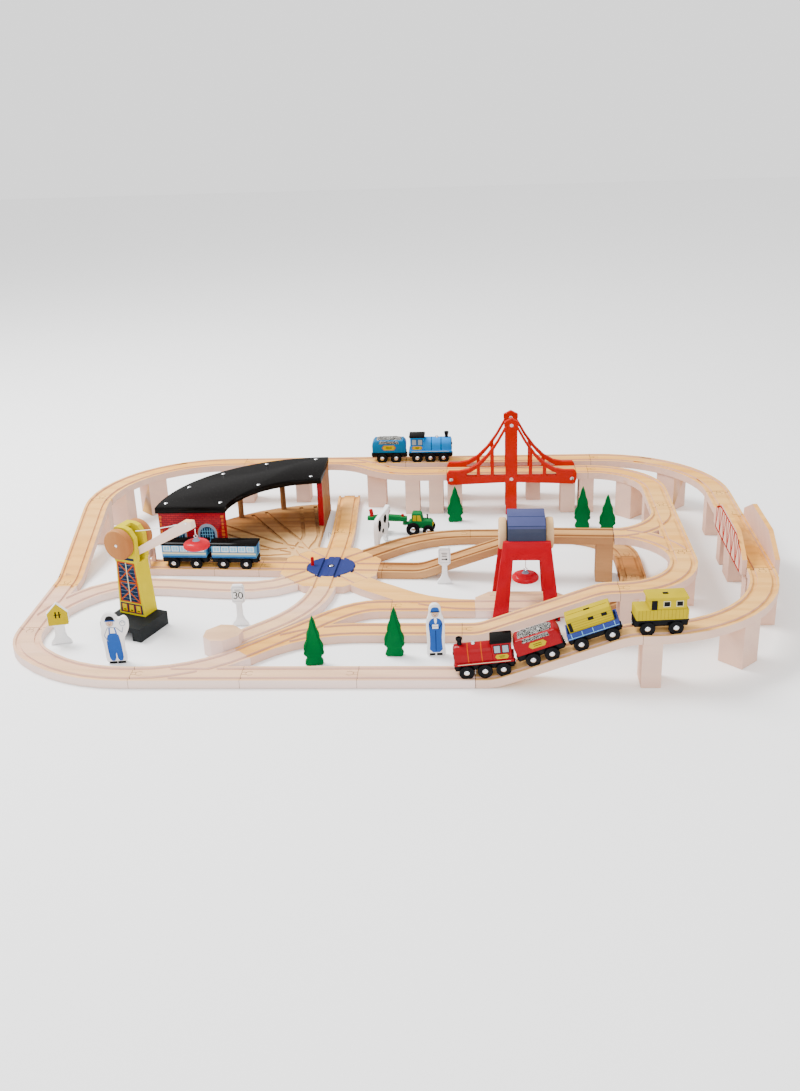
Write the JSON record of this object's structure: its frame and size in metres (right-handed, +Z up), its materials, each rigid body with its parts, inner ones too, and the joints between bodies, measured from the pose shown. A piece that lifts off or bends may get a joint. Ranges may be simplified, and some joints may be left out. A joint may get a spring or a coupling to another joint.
{
  "type": "wooden train set",
  "caption": "Wooden railway layout with raised and ground loops, turntable, roundhouse, two bridges, two magnet cranes, trains, a tractor and ramps.",
  "frame": {"origin": "on the floor under the middle of the layout", "axes": "+X along the long side towards the raised end, +Y away from the side with the red train, +Z up"},
  "size_m": [1.1136, 0.746, 0.1817],
  "materials": {
    "beech": "oiled, fine grain",
    "beech_pink": "oiled, pinkish",
    "bridge_red": "gloss orange-red paint",
    "disc_blue": "gloss blue",
    "house_brown": "painted brick red and brown",
    "gloss_black": "gloss black",
    "wheel_black": "satin black",
    "crane_black": "matt black",
    "crane_yellow": "yellow paint",
    "string_white": "white cord",
    "magnet_red": "gloss red",
    "gantry_red": "gloss crimson paint",
    "red_paint": "gloss red paint",
    "yellow_paint": "gloss yellow paint",
    "sky_paint": "gloss light blue paint",
    "tractor_green": "gloss green"
  },
  "bodies": {
    "layout": {"back_raised_track": "beech_pink", "bridge_truss_back": "bridge_red", "bridge_truss_front": "bridge_red", "centre_switch_track": "beech", "crane_base": "crane_black", "east_ramp_track": "beech", "front_left_track": "beech", "front_ramp_track": "beech", "gantry_frame": "gantry_red", "gantry_platform": "beech_pink", "gantry_string": "string_white", "inner_raised_track": "beech", "north_track": "beech", "reversing_loop_track": "beech_pink", "roundhouse_roof": "gloss_black", "roundhouse_walls": "house_brown", "spur_track": "beech", "suspension_deck": "beech", "turntable_base": "beech", "walled_bridge": "beech", "west_track": "beech_pink"},
    "turntable": {"turntable_disc": "disc_blue"},
    "crane_tower": {"crane_tower": "crane_yellow"},
    "crane_winch": {"crane_winch": "beech"},
    "crane_boom": {"crane_boom": "beech"},
    "crane_string": {"crane_string": "string_white"},
    "crane_magnet": {"crane_magnet": "magnet_red"},
    "gantry_winch": {"gantry_winch": "beech"},
    "gantry_magnet": {"gantry_magnet": "magnet_red"},
    "tractor": {"tractor_body": "tractor_green"},
    "tractor_rear_wheels": {"tractor_rear_wheels": "wheel_black"},
    "tractor_front_wheels": {"tractor_front_wheels": "wheel_black"},
    "trailer": {"tractor_trailer": "tractor_green"},
    "trailer_wheels": {"trailer_wheels": "wheel_black"},
    "red_loco": {"red_loco_body": "red_paint"},
    "red_loco_wheels_1": {"red_loco_wheels_1": "wheel_black"},
    "red_loco_wheels_2": {"red_loco_wheels_2": "wheel_black"},
    "red_loco_wheels_3": {"red_loco_wheels_3": "wheel_black"},
    "red_tender": {"red_tender_body": "red_paint"},
    "red_tender_wheels_1": {"red_tender_wheels_1": "wheel_black"},
    "red_tender_wheels_2": {"red_tender_wheels_2": "wheel_black"},
    "yellow_boxcar": {"yellow_boxcar_body": "yellow_paint"},
    "yellow_boxcar_wheels_1": {"yellow_boxcar_wheels_1": "wheel_black"},
    "yellow_boxcar_wheels_2": {"yellow_boxcar_wheels_2": "wheel_black"},
    "yellow_caboose": {"yellow_caboose_body": "yellow_paint"},
    "yellow_caboose_wheels_1": {"yellow_caboose_wheels_1": "wheel_black"},
    "yellow_caboose_wheels_2": {"yellow_caboose_wheels_2": "wheel_black"},
    "blue_tender": {"blue_tender_body": "sky_paint"},
    "blue_tender_wheels_1": {"blue_tender_wheels_1": "wheel_black"},
    "blue_tender_wheels_2": {"blue_tender_wheels_2": "wheel_black"},
    "blue_loco": {"blue_loco_body": "sky_paint"},
    "blue_loco_wheels_1": {"blue_loco_wheels_1": "wheel_black"},
    "blue_loco_wheels_2": {"blue_loco_wheels_2": "wheel_black"},
    "blue_loco_wheels_3": {"blue_loco_wheels_3": "wheel_black"},
    "left_coach": {"left_coach_body": "sky_paint"},
    "left_coach_wheels_1": {"left_coach_wheels_1": "wheel_black"},
    "left_coach_wheels_2": {"left_coach_wheels_2": "wheel_black"},
    "right_coach": {"right_coach_body": "sky_paint"},
    "right_coach_wheels_1": {"right_coach_wheels_1": "wheel_black"},
    "right_coach_wheels_2": {"right_coach_wheels_2": "wheel_black"}
  },
  "joints": [
    {"name": "turntable_spin", "type": "hinge", "parent": "layout", "child": "turntable", "pos_m": [-0.116, 0.0045, 0.008], "axis": [0, 0, 1], "continuous": true},
    {"name": "crane_slew", "type": "hinge", "parent": "layout", "child": "crane_tower", "pos_m": [-0.38497, -0.17681, 0.021], "axis": [0, 0, 1], "continuous": true},
    {"name": "crane_luff", "type": "hinge", "parent": "crane_tower", "child": "crane_boom", "pos_m": [-0.37013, -0.18281, 0.122], "axis": [-0.3746, -0.9272, 0], "range_deg": [-25, 9]},
    {"name": "crane_string_swing", "type": "hinge", "parent": "crane_boom", "child": "crane_string", "pos_m": [-0.27494, -0.22126, 0.17019], "axis": [-0.3746, -0.9272, 0], "range_deg": [-12, 28]},
    {"name": "crane_hoist", "type": "slide", "parent": "crane_string", "child": "crane_magnet", "axis": [0, 0, 1], "range_m": [-0.045, 0], "deforming": ["crane_string"]},
    {"name": "crane_winch_turn", "type": "hinge", "parent": "crane_tower", "child": "crane_winch", "pos_m": [-0.38682, -0.17606, 0.1375], "axis": [0.3746, 0.9272, 0], "continuous": true},
    {"name": "gantry_hoist", "type": "slide", "parent": "layout", "child": "gantry_magnet", "axis": [0, 0, 1], "range_m": [-0.03, 0.025], "deforming": ["gantry_string"]},
    {"name": "gantry_winch_turn", "type": "hinge", "parent": "layout", "child": "gantry_winch", "pos_m": [0.193, -0.131, 0.123], "axis": [1, 0, 0], "continuous": true},
    {"name": "red_train_roll", "type": "slide", "parent": "layout", "child": "red_loco", "axis": [1, 0, 0], "range_m": [-0.012, 0]},
    {"name": "red_tender_roll", "type": "slide", "parent": "layout", "child": "red_tender", "axis": [0.9397, 0, 0.342], "range_m": [-0.013, 0.001]},
    {"name": "yellow_boxcar_roll", "type": "slide", "parent": "layout", "child": "yellow_boxcar", "axis": [0.9397, 0, 0.342], "range_m": [-0.013, 0.001]},
    {"name": "yellow_caboose_roll", "type": "hinge", "parent": "layout", "child": "yellow_caboose", "pos_m": [0.34, -0.163, 0.076], "axis": [0, 0, 1], "range_deg": [-3.8, 0.1]},
    {"name": "blue_train_roll", "type": "slide", "parent": "layout", "child": "blue_loco", "axis": [1, 0, 0], "range_m": [-0.2, 0.2]},
    {"name": "blue_tender_roll", "type": "slide", "parent": "layout", "child": "blue_tender", "axis": [1, 0, 0], "range_m": [-0.2, 0.2]},
    {"name": "coach_train_roll", "type": "slide", "parent": "layout", "child": "left_coach", "axis": [0.9986, -0.0523, 0], "range_m": [0, 0.04]},
    {"name": "right_coach_roll", "type": "slide", "parent": "layout", "child": "right_coach", "axis": [0.9986, -0.0523, 0], "range_m": [0, 0.04]},
    {"name": "tractor_roll", "type": "slide", "parent": "layout", "child": "tractor", "axis": [0.9976, -0.0698, 0], "range_m": [-0.02, 0.01]},
    {"name": "trailer_hitch", "type": "hinge", "parent": "tractor", "child": "trailer", "pos_m": [-0.00394, 0.17381, 0.02], "axis": [0, 0, 1], "range_deg": [-22, 22]},
    {"name": "red_loco_wheels_1_spin", "type": "hinge", "parent": "red_loco", "child": "red_loco_wheels_1", "pos_m": [0.10655, -0.353, 0.01935], "axis": [0, 1, 0], "continuous": true},
    {"name": "red_loco_wheels_2_spin", "type": "hinge", "parent": "red_loco", "child": "red_loco_wheels_2", "pos_m": [0.1309, -0.353, 0.02204], "axis": [0, 1, 0], "continuous": true},
    {"name": "red_loco_wheels_3_spin", "type": "hinge", "parent": "red_loco", "child": "red_loco_wheels_3", "pos_m": [0.15525, -0.353, 0.02473], "axis": [0, 1, 0], "continuous": true},
    {"name": "red_tender_wheels_1_spin", "type": "hinge", "parent": "red_tender", "child": "red_tender_wheels_1", "pos_m": [0.19386, -0.353, 0.03866], "axis": [0, 1, 0], "continuous": true},
    {"name": "red_tender_wheels_2_spin", "type": "hinge", "parent": "red_tender", "child": "red_tender_wheels_2", "pos_m": [0.2183, -0.353, 0.04755], "axis": [0, 1, 0], "continuous": true},
    {"name": "yellow_boxcar_wheels_1_spin", "type": "hinge", "parent": "yellow_boxcar", "child": "yellow_boxcar_wheels_1", "pos_m": [0.25585, -0.353, 0.06122], "axis": [0, 1, 0], "continuous": true},
    {"name": "yellow_boxcar_wheels_2_spin", "type": "hinge", "parent": "yellow_boxcar", "child": "yellow_boxcar_wheels_2", "pos_m": [0.29531, -0.353, 0.07558], "axis": [0, 1, 0], "continuous": true},
    {"name": "yellow_caboose_wheels_1_spin", "type": "hinge", "parent": "yellow_caboose", "child": "yellow_caboose_wheels_1", "pos_m": [0.33857, -0.35279, 0.0833], "axis": [-0.0895, 0.996, 0], "continuous": true},
    {"name": "yellow_caboose_wheels_2_spin", "type": "hinge", "parent": "yellow_caboose", "child": "yellow_caboose_wheels_2", "pos_m": [0.37543, -0.34948, 0.0833], "axis": [-0.0895, 0.996, 0], "continuous": true},
    {"name": "blue_tender_wheels_1_spin", "type": "hinge", "parent": "blue_tender", "child": "blue_tender_wheels_1", "pos_m": [-0.0535, 0.353, 0.0833], "axis": [0, 1, 0], "continuous": true},
    {"name": "blue_tender_wheels_2_spin", "type": "hinge", "parent": "blue_tender", "child": "blue_tender_wheels_2", "pos_m": [-0.0275, 0.353, 0.0833], "axis": [0, 1, 0], "continuous": true},
    {"name": "blue_loco_wheels_1_spin", "type": "hinge", "parent": "blue_loco", "child": "blue_loco_wheels_1", "pos_m": [0.012, 0.353, 0.0833], "axis": [0, 1, 0], "continuous": true},
    {"name": "blue_loco_wheels_2_spin", "type": "hinge", "parent": "blue_loco", "child": "blue_loco_wheels_2", "pos_m": [0.0365, 0.353, 0.0833], "axis": [0, 1, 0], "continuous": true},
    {"name": "blue_loco_wheels_3_spin", "type": "hinge", "parent": "blue_loco", "child": "blue_loco_wheels_3", "pos_m": [0.061, 0.353, 0.0833], "axis": [0, 1, 0], "continuous": true},
    {"name": "left_coach_wheels_1_spin", "type": "hinge", "parent": "left_coach", "child": "left_coach_wheels_1", "pos_m": [-0.37447, 0.01806, 0.0193], "axis": [0.0523, 0.9986, 0], "continuous": true},
    {"name": "left_coach_wheels_2_spin", "type": "hinge", "parent": "left_coach", "child": "left_coach_wheels_2", "pos_m": [-0.33653, 0.01607, 0.0193], "axis": [0.0523, 0.9986, 0], "continuous": true},
    {"name": "right_coach_wheels_1_spin", "type": "hinge", "parent": "right_coach", "child": "right_coach_wheels_1", "pos_m": [-0.29147, 0.01371, 0.0193], "axis": [0.0523, 0.9986, 0], "continuous": true},
    {"name": "right_coach_wheels_2_spin", "type": "hinge", "parent": "right_coach", "child": "right_coach_wheels_2", "pos_m": [-0.25353, 0.01172, 0.0193], "axis": [0.0523, 0.9986, 0], "continuous": true},
    {"name": "tractor_rear_wheels_spin", "type": "hinge", "parent": "tractor", "child": "tractor_rear_wheels", "pos_m": [0.01103, 0.17277, 0.0123], "axis": [0.0698, 0.9976, 0], "continuous": true},
    {"name": "tractor_front_wheels_spin", "type": "hinge", "parent": "tractor", "child": "tractor_front_wheels", "pos_m": [0.03796, 0.17088, 0.0103], "axis": [0.0698, 0.9976, 0], "continuous": true},
    {"name": "trailer_wheels_spin", "type": "hinge", "parent": "trailer", "child": "trailer_wheels", "pos_m": [-0.04384, 0.1766, 0.0113], "axis": [0.0698, 0.9976, 0], "continuous": true}
  ],
  "couplings": [
    {"joint": "crane_string_swing", "follows": "crane_luff", "ratio": -1},
    {"joint": "crane_winch_turn", "follows": "crane_hoist", "rad_per_m": 250},
    {"joint": "gantry_winch_turn", "follows": "gantry_hoist", "rad_per_m": 166.67},
    {"joint": "red_tender_roll", "follows": "red_train_roll", "ratio": 1},
    {"joint": "yellow_boxcar_roll", "follows": "red_train_roll", "ratio": 1},
    {"joint": "yellow_caboose_roll", "follows": "red_train_roll", "rad_per_m": 5.2632},
    {"joint": "blue_tender_roll", "follows": "blue_train_roll", "ratio": 1},
    {"joint": "right_coach_roll", "follows": "coach_train_roll", "ratio": 1},
    {"joint": "red_loco_wheels_1_spin", "follows": "red_train_roll", "rad_per_m": 100},
    {"joint": "red_loco_wheels_2_spin", "follows": "red_train_roll", "rad_per_m": 100},
    {"joint": "red_loco_wheels_3_spin", "follows": "red_train_roll", "rad_per_m": 100},
    {"joint": "red_tender_wheels_1_spin", "follows": "red_train_roll", "rad_per_m": 100},
    {"joint": "red_tender_wheels_2_spin", "follows": "red_train_roll", "rad_per_m": 100},
    {"joint": "yellow_boxcar_wheels_1_spin", "follows": "red_train_roll", "rad_per_m": 100},
    {"joint": "yellow_boxcar_wheels_2_spin", "follows": "red_train_roll", "rad_per_m": 100},
    {"joint": "yellow_caboose_wheels_1_spin", "follows": "red_train_roll", "rad_per_m": 100},
    {"joint": "yellow_caboose_wheels_2_spin", "follows": "red_train_roll", "rad_per_m": 100},
    {"joint": "blue_tender_wheels_1_spin", "follows": "blue_train_roll", "rad_per_m": 100},
    {"joint": "blue_tender_wheels_2_spin", "follows": "blue_train_roll", "rad_per_m": 100},
    {"joint": "blue_loco_wheels_1_spin", "follows": "blue_train_roll", "rad_per_m": 100},
    {"joint": "blue_loco_wheels_2_spin", "follows": "blue_train_roll", "rad_per_m": 100},
    {"joint": "blue_loco_wheels_3_spin", "follows": "blue_train_roll", "rad_per_m": 100},
    {"joint": "left_coach_wheels_1_spin", "follows": "coach_train_roll", "rad_per_m": 100},
    {"joint": "left_coach_wheels_2_spin", "follows": "coach_train_roll", "rad_per_m": 100},
    {"joint": "right_coach_wheels_1_spin", "follows": "coach_train_roll", "rad_per_m": 100},
    {"joint": "right_coach_wheels_2_spin", "follows": "coach_train_roll", "rad_per_m": 100},
    {"joint": "tractor_rear_wheels_spin", "follows": "tractor_roll", "rad_per_m": 83.333},
    {"joint": "tractor_front_wheels_spin", "follows": "tractor_roll", "rad_per_m": 100},
    {"joint": "trailer_wheels_spin", "follows": "tractor_roll", "rad_per_m": 90.909}
  ]
}
